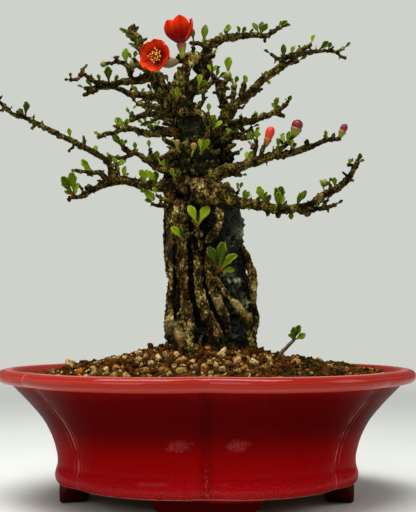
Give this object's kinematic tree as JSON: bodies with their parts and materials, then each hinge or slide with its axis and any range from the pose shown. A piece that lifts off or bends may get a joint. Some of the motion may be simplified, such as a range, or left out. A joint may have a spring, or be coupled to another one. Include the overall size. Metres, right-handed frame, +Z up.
{
  "type": "japanese quince bonsai in a pot",
  "caption": "Old flowering quince bonsai grown over a dark rock, with bare roots, thorny leafy twigs and red-orange flowers, in a lobed red glazed pot.",
  "frame": {"origin": "on the surface it stands on, under the middle of the pot", "axes": "+Z up, the pot's long way along X, the front of the tree faces -Y"},
  "size_m": [0.25, 0.195, 0.2938],
  "materials": {
    "glaze": "glossy deep red glaze",
    "soil": "coarse dry clay and pumice grains",
    "rock": "rough damp dark stone",
    "bark": "flaky grey-brown bark",
    "twig": "thin bark with bright green leaves",
    "leaf": "fresh yellow-green leaf",
    "calyx": "pale green with a pink flush",
    "petal": "soft orange-red petal",
    "bud": "closed red bud",
    "stamen": "golden",
    "screen": "black net"
  },
  "bodies": {
    "root": {"trunk_and_roots": "bark", "bloom_front_calyx": "calyx", "bloom_front_petals": "petal", "bloom_front_stamens": "stamen", "bloom_top_calyx": "calyx", "bloom_top_petals": "petal", "bloom_top_stamens": "stamen", "flower_bud_a_cup": "calyx", "flower_bud_a_head": "bud", "flower_bud_b_cup": "calyx", "flower_bud_b_head": "bud", "flower_bud_c_cup": "calyx", "flower_bud_c_head": "bud", "branch_low_left": "twig", "sprig_low_left": "twig", "branch_mid_low_left": "twig", "branch_mid_left": "twig", "branch_upper_mid_left": "twig", "branch_back_left": "twig", "branch_top_left": "twig", "branch_under_top_left": "twig", "shoot_top_left": "twig", "branch_top_right": "twig", "branch_upper_right": "twig", "branch_mid_right": "twig", "branch_back_right": "twig", "branch_back_top": "twig", "branch_back_low": "twig", "branch_bud_right": "twig", "branch_low_right": "twig", "sprout_fork": "leaf", "sprout_wound": "leaf", "sprout_crown": "leaf", "sprout_middle": "leaf", "sprout_shoulder_left": "leaf", "sprout_bole": "leaf", "sprout_root_left": "leaf", "sprout_root_right": "leaf", "bud_pale": "calyx", "bud_pink": "bud", "bud_root": "bud", "sucker": "leaf", "rock": "rock", "soil": "soil", "pot": "glaze", "drain_screen_left": "screen", "drain_screen_right": "screen"}
  },
  "joints": []
}
